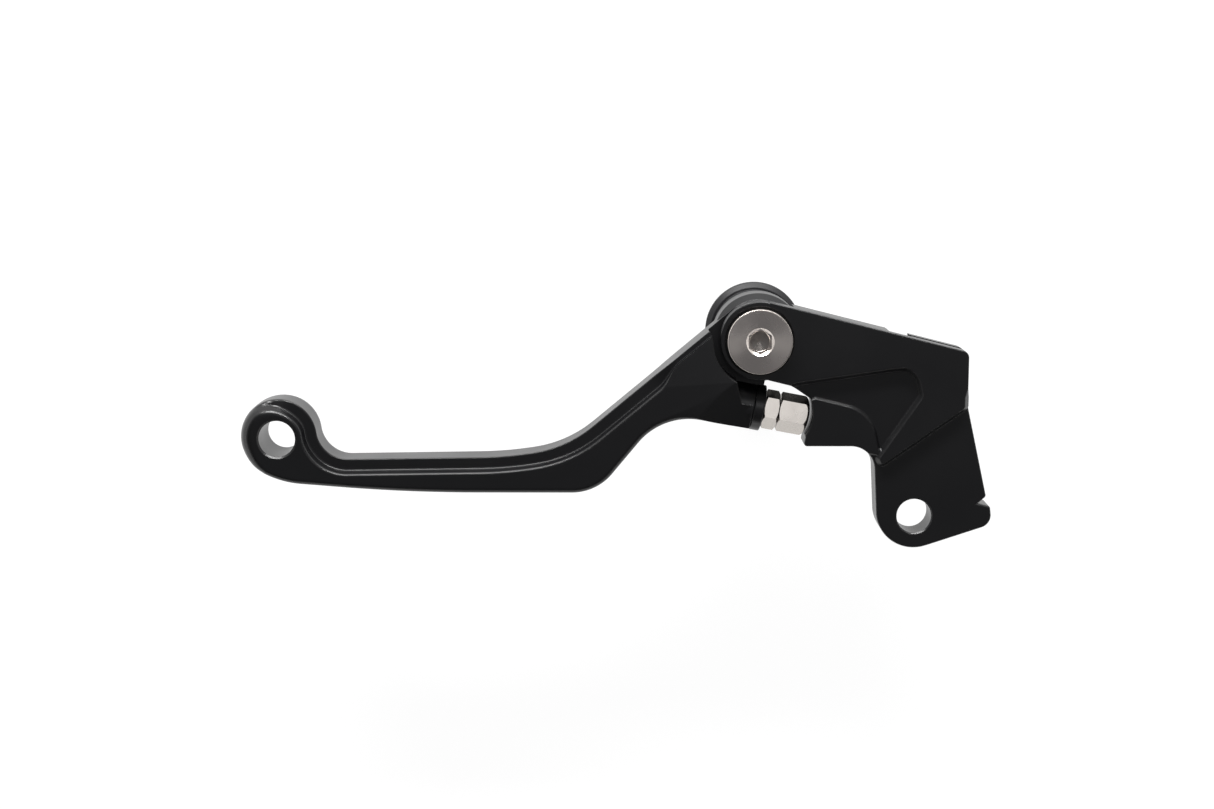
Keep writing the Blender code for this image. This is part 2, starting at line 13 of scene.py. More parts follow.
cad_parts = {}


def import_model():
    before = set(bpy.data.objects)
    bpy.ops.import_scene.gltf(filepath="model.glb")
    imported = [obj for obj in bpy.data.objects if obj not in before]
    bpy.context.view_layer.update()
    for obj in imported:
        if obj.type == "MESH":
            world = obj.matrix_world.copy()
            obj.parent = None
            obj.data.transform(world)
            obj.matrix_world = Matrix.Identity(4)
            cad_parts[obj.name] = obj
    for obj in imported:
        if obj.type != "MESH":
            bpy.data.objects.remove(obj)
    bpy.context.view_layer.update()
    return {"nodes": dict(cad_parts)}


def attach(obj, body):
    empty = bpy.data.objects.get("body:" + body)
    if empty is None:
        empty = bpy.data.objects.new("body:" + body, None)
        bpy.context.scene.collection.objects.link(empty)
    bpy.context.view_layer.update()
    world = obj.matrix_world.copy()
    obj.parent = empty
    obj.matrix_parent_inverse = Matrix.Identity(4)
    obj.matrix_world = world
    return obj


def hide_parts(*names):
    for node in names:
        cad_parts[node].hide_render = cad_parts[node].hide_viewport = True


MM = 0.001
GAP = 0.25  # clearance between pieces that touch on the real lever
PAST = 0.01  # how far a chamfer's cone stands past the face that it starts from

# Pivot of the blade on the base
PIVOT = (-36.3, 41.0)
EAR_R = 9.0
EAR_BOTTOM = 1.7
HUB_R = 10.3
HUB_TOP = 0.6
HUB_BOTTOM = -8.0
HUB_CHAMFER = (1.4, 2.2)  # in, down
EAR_POCKET_R = 10.6
HUB_POCKET_R = 10.9
HUB_BORE_R = 5.9
BELOW = -12.0  # under the blade and the base, where the upright cutters start
EASE_R = 0.3  # of the turned corners on the hub, the collar and the cap

# Base
PERCH_BORE_R = 4.0
PERCH_BOSS = (0.0, 1.3)
PERCH_BOSS_R = 8.8
PLATE_Z = 4.0
BLOCK_Z = 4.6
BAND_Z = 5.5
TOP_LEFT = (-33.95, 49.85)
TOP_RIGHT = (11.6, 38.45)
TOP_CORNER_R = 1.7
EAR_SPAN = (75.8, 278)
NOTCH_TOP = (-24.3, 27.4)
NOTCH_FOOT = [(-25.5, 18.4), (-25.9, 16.4, 0.7), (-9.6, 16.4, 5.6)]
INBOARD_X = TOP_RIGHT[0]
STEP_FOOT = PLATE_Z - 0.15  # a step on the plate starts a little inside it
STEP_INSET = 0.03  # keeps the walls of the raised parts off the plate's wall
CABLE_SLOT_W = 2.8
CABLE_SLOT_DEPTH = 9.0
NIPPLE = (-4.6, 37.2)
NIPPLE_R = 4.1
NIPPLE_ROOF = 2.2
NIPPLE_MOUTH = (-6.4, -1.2)

# Blade
BALL = (-147.0, 18.4)
BALL_R = 8.85
BALL_HOLE_R = 4.2
BLADE_Z = 7.0
RIM_Z = 4.3
TOP_Y = 13.3
NECK_R = 7.2
KNUCKLE_FOOT = (-42.1, 47.95)
TOP_BENDS = [(-80.5, 16.0, 28), (-95.0, 13.85, 86)]
BOTTOM_BENDS = [(-146.2, 8.05, 22), (-116.8, 5.75, 400), (-73.6, 5.75, 12), (-58.2, 24.4, 15)]
BALL_END = 243  # where the ball's round meets the lower edge, in degrees
BALL_OUTER_SIDE = 160
COVE_FADES = (50, 90)  # round the ball: the angle where the cove starts to fade, and over how many degrees
ROUND_FADES = (200, 60)
LEDGE_STARTS = (-61.0, 5.5)  # along the top edge: the x where the cove starts to change, and over what length
LEDGE_ENDS = (-46.8, 2.6)
LEDGE_WIDTH = 0.4  # the ledge's share of the cove's width and depth
LEDGE_DEPTH = 0.6
RIM_ROUND = 0.3
SLOPES = [  # ridge line's start and angle, fall of the face beside it, both in degrees
    ((-61.3, 21.8), 23.4, 9.0),
    ((-61.3, 17.9), 35.1, 14.0),
    ((-65.0, 30.0), 4.0, -4.0),
]
SLAB_REACH = 40.0  # a slope's cutter: how far along its ridge line, to its right, to its left and upward
SLAB_RIGHT = 18.0
SLAB_LEFT = 24.0
SLAB_HEIGHT = 8.0
KNUCKLE_CUT = [(-46.9, 41.0), (-40.0, 46.0), (-44.0, 50.0), (-48.6, 44.0), (-47.4, 42.6)]
CUT_HEIGHT = 5.0  # of the upright cutters above the blade

# Adjuster: u is measured along its axis from the point nearest the pivot
ADJ_ANGLE = math.radians(-10.65)
ADJ_ARM = 15.8
COLLAR_U = (1.6, 4.15)
COLLAR_R = 5.35
COLLAR_STEP = 0.35
BARREL_U = -6.5
BARREL_R = 5.3
END_FACE_V = (-4.7, 4.2)  # across the axis, from the blade's lower edge to the web under the hub
WEB = [(3.4, 4.6), (3.4, 7.0)]  # as (u, v), like the recess under the ear
RECESS = [(-3.6, 6.2), (-1.2, 0.8), (5, 0.8), (5, 9), (-3, 9)]
HEX_AF = 8.0
HEX_TURN = 17  # degrees
NUT_LEN = 3.2
SCREW_R = 2.5
SCREW_LEN = 16.0
HEAD_TIP_U = 15.1
HEAD_DOME = 1.7
HEX_CHAMFER = (0.6, 0.35)  # in, along
WALL_U = 15.45
WALL_R = 10.0
WALL_SPAN = 23  # degrees each side of the axis

# Pivot bolt and what is on it
BOLT_HEAD_R = 7.45
BOLT_HEAD_T = 2.8
COUNTERBORE = (7.85, 0.8)
BOLT_SHANK_R = 4.0
BOLT_THREAD_R = 3.0
BOLT_SOCKET_AF = 5.2
BOLT_SOCKET_DEPTH = 1.9
BOLT_TAIL = 4.8  # of thread below the cap
BOLT_PITCH = 1.0
SCREW_PITCH = 0.8
BOLT_BORE_R = 4.3
NUT_WASHER = (6.0, 0.6)
SPRING_R = 7.4
LEG_HOLE_R = 1.05
LEG_DEPTHS = (2.2, 1.65)  # of the holes in the hub and in the cap's floor
LEG_SLOT = (0, 2.5, 5)  # degrees that the reach turns the hub past the spring's upper leg
CAP_TOP = -8.3
CAP_SHOULDER = -15.2
CAP_BOTTOM = -17.8
CAP_FLOOR = -14.4
CAP_CUP_R = (8.5, 9.7)
CAP_FLANGE_R = 11.5
CAP_CHAMFER = 1.2
NUT_RECESS = (6.1, 2.2)
PIVOT_NUT_AF = 10.0
NUT_WASHER_LOW = CAP_BOTTOM + NUT_RECESS[1] - GAP - NUT_WASHER[1]
PIVOT_NUT_T = 4.2
NUT_RING = (4.4, 1.3)
RING_EDGE = 0.12

THREAD_SEGMENTS = 48
THREAD_ROWS = 10  # a turn
THREAD_DEPTH = 0.6  # of the pitch
THREAD_FLANKS = 1.25  # above 1 it leaves a flat crest
THREAD_RUNOUT = 0.25  # of the depth, taken off at both ends

SEGMENTS = 128
ARC_STEP = math.radians(3)
LONGEST = 2.5
SAME_POINT = 0.02
SHARP_ANGLE = math.radians(9)
ROWS = 18  # of the blade's sections, from the outer edge to the flat
WALL_ROWS = 9  # of the base's
FLAT_START = 0.15  # from the end of a section's round to the flat

SOFT_EDGE = 0.2  # that the anodised material's shading rounds

# Sight and light
LENS = 59.1
SENSOR = 36
CAMERA_AT = (-68.174, 95.350, 457.253)
CAMERA_AHEAD = (-0.00652, -0.15103, -0.98851)
CLIP_START = 0.01  # in metres
FLOOR_GAP = 5.0
FLOOR_SIDE = 3000
# The floor's pool is a painted glow: its emission is strongest round the lever and fades outward.
POOL_SHIFT = (0.07, -0.02, 0)  # in metres, from the pool's centre to the origin
POOL = {"From Min": 0.2, "From Max": 0.5, "To Min": 0.93, "To Max": 0.4}  # metres out, then level
SKY = [(0.2, 1.9), (0.34, 0.08), (0.7, 0.10)]  # height, from the horizon at 0 to straight up at 1, and level
SKY_LOW = (0.0, (2.2, 2.2, 2.2, 1))
SKY_HIGH = (0.95, (0.22, 0.22, 0.23, 1))
LAMPS = [  # name, place, aim, size, all in metres, and radiance
    ("crest", (-0.12, 0.85, 0.26), (-0.09, 0.02, 0), (0.9, 0.12), 52.0),
    ("key", (0.10, 0.28, 0.78), (-0.03, 0.025, 0), (0.5, 0.26), 1.45),
]


# ---------------------------------------------------------------- outlines


def arc(centre, radius, start, end):
    """Points on an arc, angles in degrees, both ends included."""
    start, end = math.radians(start), math.radians(end)
    count = max(2, math.ceil(abs(end - start) / ARC_STEP))
    angles = [start + (end - start) * i / count for i in range(count + 1)]
    return [(centre[0] + radius * math.cos(a), centre[1] + radius * math.sin(a)) for a in angles]


def fillet(before, corner, after, radius):
    """The arc of that radius tangent to both lines that meet at the corner."""
    corner = Vector(corner)
    back = (Vector(before) - corner).normalized()
    on = (Vector(after) - corner).normalized()
    half = back.angle(on) / 2
    centre = corner + (back + on).normalized() * radius / math.sin(half)
    first = corner + back * radius / math.tan(half) - centre
    last = corner + on * radius / math.tan(half) - centre
    turn = first.angle_signed(last)
    count = max(4, math.ceil(abs(turn) / ARC_STEP), math.ceil(abs(turn) * radius / LONGEST))
    return [tuple(centre + Matrix.Rotation(-turn * i / count, 2) @ first) for i in range(count + 1)]


def rounded(corners):
    """An open path through corners given as (x, y) or (x, y, fillet radius)."""
    path = [tuple(corners[0][:2])]
    for before, corner, after in zip(corners, corners[1:], corners[2:]):
        if len(corner) > 2:
            path += fillet(before[:2], corner[:2], after[:2], corner[2])
        else:
            path.append(tuple(corner))
    return path + [tuple(corners[-1][:2])]


def closed(*paths):
    """Joins paths into one closed outline and drops repeated points."""
    outline = []
    for point in [p for path in paths for p in path]:
        if not outline or math.dist(point[:2], outline[-1][:2]) > SAME_POINT:
            outline.append(point)
    if math.dist(outline[0][:2], outline[-1][:2]) < SAME_POINT:
        outline.pop()
    return outline


def subdivided(path, longest=LONGEST):
    """The path with its long stretches cut into equal shorter ones."""
    points = [path[0]]
    for start, end in zip(path, path[1:]):
        count = max(1, math.ceil(math.dist(start, end) / longest))
        points += [tuple(Vector(start).lerp(Vector(end), i / count)) for i in range(1, count + 1)]
    return points


def on_adjuster(u, v=0.0):
    """The point u along the adjuster's axis and v across it, towards the pivot."""
    along = Vector((math.cos(ADJ_ANGLE), math.sin(ADJ_ANGLE)))
    across = Vector((-along.y, along.x))
    return tuple(Vector(PIVOT) + across * (v - ADJ_ARM) + along * u)


# ---------------------------------------------------------------- solids


def mesh_of(name, points, faces):
    """A mesh from points in millimetres, its faces turned outward."""
    mesh = bpy.data.meshes.new(name)
    mesh.from_pydata([Vector(p) * MM for p in points], [], faces)
    shape = bmesh.new()
    shape.from_mesh(mesh)
    bmesh.ops.recalc_face_normals(shape, faces=shape.faces)
    shape.to_mesh(mesh)
    shape.free()
    return mesh


def add(name, mesh, place=None):
    """A new object in the scene, set at its place."""
    obj = bpy.data.objects.new(name, mesh)
    bpy.context.scene.collection.objects.link(obj)
    if place:
        obj.matrix_world = place
    return obj


def loops_mesh(name, loops):
    """Closed loops of equal length joined by quads, with a flat cap on the first and the last."""
    count = len(loops[0])
    points = [p for loop in loops for p in loop]
    faces = [tuple(range(count)), tuple(range(len(points) - count, len(points)))]
    for row in range(len(loops) - 1):
        for i in range(count):
            a, b = row * count + i, row * count + (i + 1) % count
            faces.append((a, b, b + count, a + count))
    return mesh_of(name, points, faces)


def offset(outline, distances):
    """The outline moved inward, each point by its own distance. The outline runs anticlockwise."""
    moved = []
    for i, point in enumerate(outline):
        here = Vector(point[:2])
        to = (here - Vector(outline[i - 1][:2])).normalized()
        on = (Vector(outline[(i + 1) % len(outline)][:2]) - here).normalized()
        inward = Vector((-to.y - on.y, to.x + on.x)) / (1 + to.dot(on))
        moved.append(here + inward * distances[i])
    return moved


def section_solid(name, outline):
    """A solid mirrored about Z = 0 from points (x, y, section).

    A section lists (distance in, half thickness).
    """
    upper = []
    for row in range(len(outline[0][2])):
        inner = offset(outline, [section[row][0] for _, _, section in outline])
        upper.append([(p.x, p.y, section[row][1]) for p, (_, _, section) in zip(inner, outline)])
    lower = [[(x, y, -z) for x, y, z in loop] for loop in reversed(upper)]
    return loops_mesh(name, lower + upper)


def prism(name, outline, low, high):
    """An upright solid over an outline of (x, y)."""
    return loops_mesh(name, [[(x, y, z) for x, y in outline] for z in (low, high)])


def turned(name, profile):
    """A closed profile of (radius, z) turned about Z, the axis left open."""
    points, faces = [], []
    count = len(profile)
    for i in range(SEGMENTS):
        angle = 2 * math.pi * i / SEGMENTS
        points += [(r * math.cos(angle), r * math.sin(angle), z) for r, z in profile]
        for j in range(count):
            a, b = i * count + j, i * count + (j + 1) % count
            c, d = (b + count) % (SEGMENTS * count), (a + count) % (SEGMENTS * count)
            faces.append((a, b, c, d))
    return mesh_of(name, points, faces)


def rod(name, profile, segments=SEGMENTS):
    """A solid turned piece: profile of (radius, z) from the bottom up, closed by flat ends."""
    angles = [2 * math.pi * i / segments for i in range(segments)]
    loops = [[(r * math.cos(a), r * math.sin(a), z) for a in angles] for r, z in profile]
    return loops_mesh(name, loops)


def eased(profile, radius, steps=3, shut=False):
    """A profile with each of its corners rounded by a small fillet, as a cutter leaves it.

    An open profile keeps its two end points, and a fillet takes less than half of a side.
    """
    size = len(profile)
    out = []
    for i, point in enumerate(profile):
        if not shut and i in (0, size - 1):
            out.append(point)
            continue
        back = Vector(profile[i - 1]) - Vector(point)
        on = Vector(profile[(i + 1) % size]) - Vector(point)
        reach = min(radius, back.length * 0.45, on.length * 0.45)
        start = Vector(point) + back.normalized() * reach
        end = Vector(point) + on.normalized() * reach
        for j in range(steps + 1):
            t = j / steps
            mid = start.lerp(Vector(point), t).lerp(Vector(point).lerp(end, t), t)
            out.append(tuple(mid))
    return out


def threaded(name, radius, pitch, low, high):
    """A threaded rod: its wall follows the thread's helix, a little lower in the last turn at both ends."""
    rows = round((high - low) / pitch * THREAD_ROWS)
    loops = []
    for row in range(rows + 1):
        z = low + (high - low) * row / rows
        fade = min(1.0, (z - low) / pitch, (high - z) / pitch)
        loop = []
        for i in range(THREAD_SEGMENTS):
            turn = i / THREAD_SEGMENTS
            phase = (z / pitch - turn) % 1
            rise = min(1.0, THREAD_FLANKS * abs(2 * phase - 1))
            r = radius - THREAD_DEPTH * pitch * (1 - rise) - THREAD_RUNOUT * (1 - fade) * THREAD_DEPTH * pitch
            loop.append((r * math.cos(2 * math.pi * turn), r * math.sin(2 * math.pi * turn), z))
        loops.append(loop)
    return loops_mesh(name, loops)


def hexagon(name, across_flats, low, high, turn=0.0):
    """A hexagonal prism, turned about Z by that many degrees."""
    radius = across_flats / math.sqrt(3)
    angles = [math.radians(60 * i + turn) for i in range(6)]
    loops = [[(radius * math.cos(a), radius * math.sin(a), z) for a in angles] for z in (low, high)]
    return loops_mesh(name, loops)


def hex_chamfers(across_flats, low, high, bottom, top):
    """The profile of a cylinder that trims a hexagon's corners; a chamfer is given as (in, along)."""
    corner = across_flats / math.sqrt(3)
    return [
        (corner - bottom[0], low - PAST), (corner, low + bottom[1]),
        (corner, high - top[1]), (corner - top[0], high + PAST),
    ]


AT_PIVOT = Matrix.Translation(Vector((*PIVOT, 0)) * MM)
ON_ADJUSTER = (
    Matrix.Translation(Vector((*on_adjuster(0), 0)) * MM)
    @ Matrix.Rotation(ADJ_ANGLE, 4, "Z")
    @ Matrix.Rotation(math.pi / 2, 4, "Y")
)


def shaped(obj, steps):
    """Runs Booleans on the piece in turn, each (operation, mesh, place), and keeps the result."""
    tools = []
    for operation, mesh, place in steps:
        other = add(mesh.name, mesh, place)
        step = obj.modifiers.new(mesh.name, "BOOLEAN")
        step.operation = operation
        step.solver = "EXACT"
        step.object = other
        tools.append(other)
    bpy.context.view_layer.update()
    graph = bpy.context.evaluated_depsgraph_get()
    mesh = bpy.data.meshes.new_from_object(obj.evaluated_get(graph))
    obj.modifiers.clear()
    obj.data = mesh
    for other in tools:
        bpy.data.objects.remove(other)
    return obj


def leg_hole(angle, low, high):
    """The cut for a leg of the spring, at that angle in degrees round the pivot."""
    turn = math.radians(angle)
    place = AT_PIVOT @ Matrix.Translation(Vector((math.cos(turn), math.sin(turn), 0)) * SPRING_R * MM)
    return "DIFFERENCE", rod("leg_hole", [(LEG_HOLE_R, low), (LEG_HOLE_R, high)], 32), place


def finished(obj, material, body, node_name):
    """Shades the piece, gives it its material and sets it on its body in place of the CAD node."""
    mesh = obj.data
    mesh.materials.clear()
    mesh.materials.append(material)
    mesh.shade_smooth()
    mesh.set_sharp_from_angle(angle=SHARP_ANGLE)
    even = obj.modifiers.new("even_normals", "WEIGHTED_NORMAL")
    even.keep_sharp = True
    even.weight = 50
    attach(obj, body)
    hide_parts(node_name)
    return obj


# ---------------------------------------------------------------- sections


def smooth(t):
    """From 0 to 1, level at both ends."""
    return t * t * (3 - 2 * t)


def mix(one, other, value, start, length):
    """Section one up to start, the other from start + length on, and a smooth change between them."""
    share = smooth(min(max((value - start) / length, 0.0), 1.0))
    return [(a + (c - a) * share, b + (d - b) * share) for (a, b), (c, d) in zip(one, other)]


def quarter(width, low, high):
    """A convex quarter ellipse from the wall to the flat."""
    rows = ROWS - 1
    angles = [math.pi / 2 * i / (rows - 1) for i in range(rows)]
    return [(width * (1 - math.cos(a)), low + (high - low) * math.sin(a)) for a in angles]


def cove_section():
    """Outer wall, a small round on the rim, a nearly flat floor, a steep wall, a rounded crest, the flat."""
    rim = [
        (RIM_ROUND * (1 - math.cos(a)), RIM_Z - RIM_ROUND + RIM_ROUND * math.sin(a))
        for a in (0, 0.5, 1.0, 1.57)
    ]
    floor_line = [(1.0, RIM_Z + 0.02), (2.2, RIM_Z + 0.06), (2.5, RIM_Z + 0.12), (2.66, RIM_Z + 0.3)]
    wall = [(2.76, RIM_Z + 0.8), (2.86, RIM_Z + 1.3), (2.96, BLADE_Z - 0.95)]
    turns = [math.radians(12 + 78 * i / 6) for i in range(7)]
    crest = [(3.72 - 0.72 * math.cos(a), BLADE_Z - 0.8 + 0.8 * math.sin(a)) for a in turns]
    return [*rim, *floor_line, *wall, *crest]


COVE = cove_section()
ROUND = [*quarter(3.2, 2.6, BLADE_Z), (3.6, BLADE_Z)]
EDGE = [*quarter(1.3, 5.4, BLADE_Z), (1.6, BLADE_Z)]
CRISP = [*quarter(0.35, 6.6, BLADE_Z), (0.6, BLADE_Z)]
# The ledge carries the cove on to the knuckle
LEDGE = [(LEDGE_WIDTH * inward, BLADE_Z - LEDGE_DEPTH * (BLADE_Z - z)) for inward, z in COVE]


def ball_section(angle):
    """Cove on the neck's side of the ball, round on its outer side, the blade's lower edge below."""
    if angle < BALL_OUTER_SIDE:
        return mix(COVE, ROUND, angle, *COVE_FADES)
    return mix(ROUND, EDGE, angle, *ROUND_FADES)


def top_section(x):
    """The cove, then the ledge, then a crisp edge where the knuckle's sharp foot leaves no room for it."""
    if x > sum(LEDGE_STARTS):
        return mix(LEDGE, CRISP, x, *LEDGE_ENDS)
    return mix(COVE, LEDGE, x, *LEDGE_STARTS)


# ---------------------------------------------------------------- blade


def blade_outline():
    """Anticlockwise points (x, y, section)."""
    neck_y = TOP_Y + NECK_R
    neck_x = BALL[0] + math.sqrt((BALL_R + NECK_R) ** 2 - (neck_y - BALL[1]) ** 2)
    lean = math.degrees(math.atan2(neck_y - BALL[1], neck_x - BALL[0]))
    ball = arc(BALL, BALL_R, lean, BALL_END)
    span = [lean + (BALL_END - lean) * i / (len(ball) - 1) for i in range(len(ball))]
    corner, web_start = (on_adjuster(COLLAR_U[0], v) for v in END_FACE_V)
    bottom = rounded([ball[-1], *BOTTOM_BENDS, corner])
    hidden = [web_start, *[on_adjuster(u, v) for u, v in WEB], (-38.6, 35.0), (-39.5, 41.0)]  # in the hub
    top = rounded([KNUCKLE_FOOT, *TOP_BENDS, (neck_x, TOP_Y)])
    neck = arc((neck_x, neck_y), NECK_R, 270, 180 + lean)
    return closed(
        [(x, y, ball_section(a)) for (x, y), a in zip(ball, span)],
        [(x, y, EDGE) for x, y in subdivided(bottom)],
        [(x, y, CRISP) for x, y in hidden],
        [(x, y, top_section(x)) for x, y in subdivided(top, 1.0)],
        [(x, y, COVE) for x, y in neck],
    )


def slope(side, start, angle, fall):
    """A slab above (side 1) or below (side -1) the blade whose face falls to the right of a ridge line.

    The line starts at start and runs at angle; a negative fall tips the face down to its left.
    """
    right, left = (-SLAB_RIGHT, 0) if fall > 0 else (0, SLAB_LEFT)
    low, high = (0, SLAB_HEIGHT) if side > 0 else (-SLAB_HEIGHT, 0)
    outline = [(0, right), (SLAB_REACH, right), (SLAB_REACH, left), (0, left)]
    mesh = prism("slope", outline, low, high)
    place = Matrix.Translation(Vector((*start, BLADE_Z * side)) * MM)
    place @= Matrix.Rotation(math.radians(angle), 4, "Z")
    mesh.transform(place @ Matrix.Rotation(math.radians(fall * side), 4, "X"))
    return mesh


def bore_profile(radius, half_thickness, chamfer):
    """A through hole that flares at both faces."""
    wide = radius + chamfer + 1
    return [
        (wide, -half_thickness - 1),
        (radius, -half_thickness + chamfer),
        (radius, half_thickness - chamfer),
        (wide, half_thickness + 1),
    ]


def flared_profile(radius, floor_z, top, chamfer):
    """A blind bore from its floor up, opened by a chamfer at the top face."""
    return [(radius, floor_z), (radius, top - chamfer), (radius + 1, top - chamfer + 1)]


def blade(black):
    """The blade with its hub, barrel and collar."""
    obj = add("blade_forging", section_solid("blade_forging", blade_outline()))
    inset, drop = HUB_CHAMFER
    hub = eased([
        (HUB_R - 0.7, HUB_BOTTOM), (HUB_R, HUB_BOTTOM), (HUB_R, HUB_TOP - drop),
        (HUB_R - inset, HUB_TOP), (HUB_BORE_R, HUB_TOP),
    ], EASE_R)
    start, end = COLLAR_U
    collar = eased([
        (COLLAR_R - COLLAR_STEP, -3), (COLLAR_R - COLLAR_STEP, start + 0.25), (COLLAR_R, start + COLLAR_STEP),
        (COLLAR_R, end), (3.0, end),
    ], EASE_R)
    ball_hole = rod("ball_hole", bore_profile(BALL_HOLE_R, BLADE_Z, 0.4))
    barrel = [(BARREL_R, BARREL_U), (BARREL_R, start)]
    recess = [on_adjuster(u, v) for u, v in RECESS]
    ear_pocket = flared_profile(EAR_POCKET_R, HUB_TOP, BLADE_Z, 0.3)
    shaped(obj, [
        *[("DIFFERENCE", slope(side, *face), None) for face in SLOPES for side in (1, -1)],
        ("DIFFERENCE", prism("recess", recess, HUB_TOP, BLADE_Z + CUT_HEIGHT), None),
        ("UNION", rod("barrel", barrel), ON_ADJUSTER),
        ("UNION", rod("collar", collar), ON_ADJUSTER),
        ("UNION", rod("hub", hub), AT_PIVOT),
        ("DIFFERENCE", rod("ear_pocket", ear_pocket), AT_PIVOT),
        ("DIFFERENCE", prism("knuckle_cut", KNUCKLE_CUT, HUB_TOP, BLADE_Z + CUT_HEIGHT), None),
        ("DIFFERENCE", rod("hub_bore", [(HUB_BORE_R, BELOW), (HUB_BORE_R, 4)]), AT_PIVOT),
        *[leg_hole(180 + turned_by, BELOW, HUB_BOTTOM + LEG_DEPTHS[0]) for turned_by in LEG_SLOT],
        ("DIFFERENCE", rod("adjuster_bore", [(SCREW_R + GAP, -14), (SCREW_R + GAP, 6)]), ON_ADJUSTER),
        ("DIFFERENCE", ball_hole, Matrix.Translation(Vector((*BALL, 0)) * MM)),
    ])
    return finished(obj, black, "blade", "lever_blade")


# ---------------------------------------------------------------- lever base


def edge_section(half, radius, inset=0.0):
    """A vertical wall with a rounded upper edge."""
    angles = [math.pi / 2 * i / (WALL_ROWS - 2) for i in range(WALL_ROWS - 1)]
    rows = [(inset + radius * (1 - math.cos(a)), half - radius * (1 - math.sin(a))) for a in angles]
    return [*rows, (inset + radius + FLAT_START, half)]


def step_section(high, out, inn, softness=1.0):
    """A step up from the plate's face, from outside the line to inside it.

    A softness of 1 makes an S curve, and less makes a straighter bevel with eased ends.
    """
    steps = [i / (WALL_ROWS - 2) for i in range(WALL_ROWS - 1)]
    shares = [(1 - softness) * t + softness * smooth(t) for t in steps]
    rows = [(-out + (out + inn) * t, STEP_FOOT + (high - STEP_FOOT) * up) for t, up in zip(steps, shares)]
    return [*rows, (inn + FLAT_START, high)]


def with_section(path, section):
    """The path's points, each with that section."""
    return [(*p[:2], section) for p in path]


def ear_arc():
    """Round the ear, from the top edge to the lower edge."""
    return arc(PIVOT, EAR_R, *EAR_SPAN)


def lower_edge():
    """From the ear to the top of the notch."""
    return rounded([ear_arc()[-1], (-29.4, 30.9, 12), NOTCH_TOP])


def notch_wall():
    """The hollow wall that the screw's head bears on, from its top to its foot."""
    centre = on_adjuster(WALL_U - WALL_R)
    tilt = math.degrees(ADJ_ANGLE)
    return arc(centre, WALL_R, tilt + WALL_SPAN, tilt - WALL_SPAN)


def top_edge(start_y):
    """Up the inboard edge from that height and along the top to the ear."""
    return rounded([(INBOARD_X, start_y), (*TOP_RIGHT, TOP_CORNER_R), TOP_LEFT])


def plate_outline():
    """The whole arm at the thickness that it has round the perch bore."""
    section = edge_section(PLATE_Z, 0.45)
    return closed(*[with_section(path, section) for path in (
        ear_arc(),
        lower_edge(),
        notch_wall(),
        rounded([*NOTCH_FOOT, (-8.75, 0.5)]),
        arc(PERCH_BOSS, PERCH_BOSS_R, 186, 288.4),
        rounded([
            (3.0, -7.0), (18.1, -1.95, 3), (17.6, 2.3, 0.8), (14.7, 3.0), (16.6, 4.6, 0.8), (16.2, 6.4),
        ]),
        top_edge(26.8),
    )])


def band_outline():
    """The raised band along the top and the tongue that runs down from it."""
    wall = edge_section(BAND_Z, 0.25, STEP_INSET)
    soft = step_section(BAND_Z, 0.8, 0.7)
    bevel = step_section(BAND_Z, 0.35, 0.75, 0.25)
    start, end = (-29.4, 30.7), (INBOARD_X, 30)
    lower = subdivided(rounded([
        start, (-0.9, 34.9, 4.5), (0.7, 28.4, 1.5), (-9.3, 13.7, 1.2), (-8.1, 11.3, 1.2),
        (INBOARD_X, 25.2, 1.5), end,
    ]), 1.2)
    split = next(i for i, p in enumerate(lower) if p[0] > -4)
    band = [(x, y, mix(wall, soft, x, start[0], 2.0)) for x, y in lower[:split]]
    tongue = [(x, y, mix(soft, bevel, i, -1, 6)) for i, (x, y) in enumerate(lower[split:])]
    return closed(
        with_section(ear_arc(), wall),
        band,
        tongue[:-2],  # without its end on the inboard edge, where the wall's section takes over
        with_section(top_edge(end[1]), wall),
    )


def block_outline():
    """The thicker block behind the notch, its far end under the tongue."""
    wall = edge_section(BLOCK_Z, 0.4, STEP_INSET)
    soft = step_section(BLOCK_Z, 0.4, 0.4)
    foot = [p for p in rounded([*NOTCH_FOOT, (-9.3, 10.6)]) if p[1] > 14.6]
    return closed(
        with_section([NOTCH_TOP, *notch_wall(), *foot], wall),
        with_section(rounded([(-5.0, 13.5), (-8.4, 16.0), (-10.4, 24.6, 9), (-23.2, 27.75)]), soft),
    )


def cable_slot():
    """Open at the top and at the inboard edge."""
    top = Vector(TOP_RIGHT) - Vector(TOP_LEFT)
    down = Vector((top.y, -top.x)).normalized() * CABLE_SLOT_DEPTH
    start = Vector(TOP_LEFT).lerp(Vector(TOP_RIGHT), 0.62)
    end = Vector(TOP_RIGHT) + top * 0.1
    outline = [start + down, end + down, end - down, start - down]
    return prism("cable_slot", [tuple(p) for p in outline], -CABLE_SLOT_W / 2, CABLE_SLOT_W / 2)


def nipple_pocket():
    """The seat of the cable's end, entered from the top and from below."""
    left, right = NIPPLE_MOUTH
    outline = closed(
        [(left, 48.0), (left, NIPPLE[1] + 2)],
        arc(NIPPLE, NIPPLE_R, 155, 385),
        [(right, NIPPLE[1] + 2), (right, 48.0)],
    )
    return prism("nipple_pocket", outline, -8.0, NIPPLE_ROOF)


def joined(name, parts):
    """One mesh from several finished solids that overlap."""
    shape = bmesh.new()
    for part in parts:
        shape.from_mesh(part.data)
        bpy.data.objects.remove(part)
    mesh = bpy.data.meshes.new(name)
    shape.to_mesh(mesh)
    shape.free()
    return add(name, mesh)


